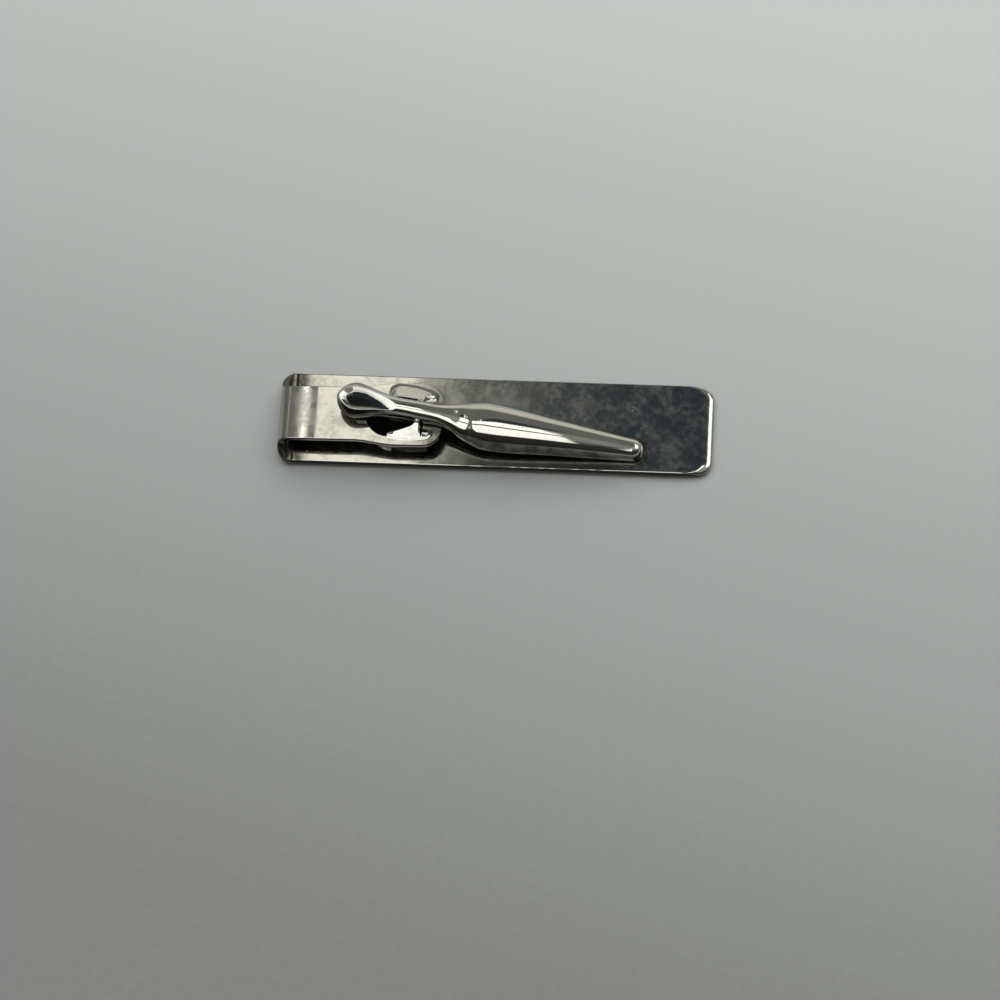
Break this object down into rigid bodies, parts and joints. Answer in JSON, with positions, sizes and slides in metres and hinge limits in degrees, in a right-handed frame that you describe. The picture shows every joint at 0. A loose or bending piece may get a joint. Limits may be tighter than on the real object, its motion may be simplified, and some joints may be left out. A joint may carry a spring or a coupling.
{
  "type": "tie clip",
  "caption": "Flat bar tie clip folded from one polished sheet, with a back strap, an eye with two bent-up ears, a pressed rocking lever on a hinge pin and a leaf spring that closes it.",
  "frame": {"origin": "centre of the box at the front face, on which the clip lies with its back up", "axes": "+X along the bar from the fold to the free end, +Y across the bar to the far side of the picture, +Z from the front face to the back"},
  "size_m": [0.05, 0.0108, 0.0066],
  "materials": {
    "polished_sheet": "worn polish, clouded and lightly scratched",
    "polished_lever": "bright polish with fine rubbing marks",
    "pin_steel": "drawn wire, ends polished flush",
    "spring_steel": "blued spring strip, matt"
  },
  "bodies": {
    "body": {"clip_body": "polished_sheet", "hinge_pin": "pin_steel", "leaf_spring": "spring_steel"},
    "lever": {"lever": "polished_lever"}
  },
  "joints": [
    {"name": "lever_hinge", "type": "hinge", "parent": "body", "child": "lever", "pos_m": [-0.0086, -0.00022, 0.0047], "axis": [-0.1097, -0.994, 0], "range_deg": [0, 9], "stiffness_Nm_per_rad": 0.002, "springref_deg": -22.92, "deforming": ["leaf_spring"]}
  ]
}
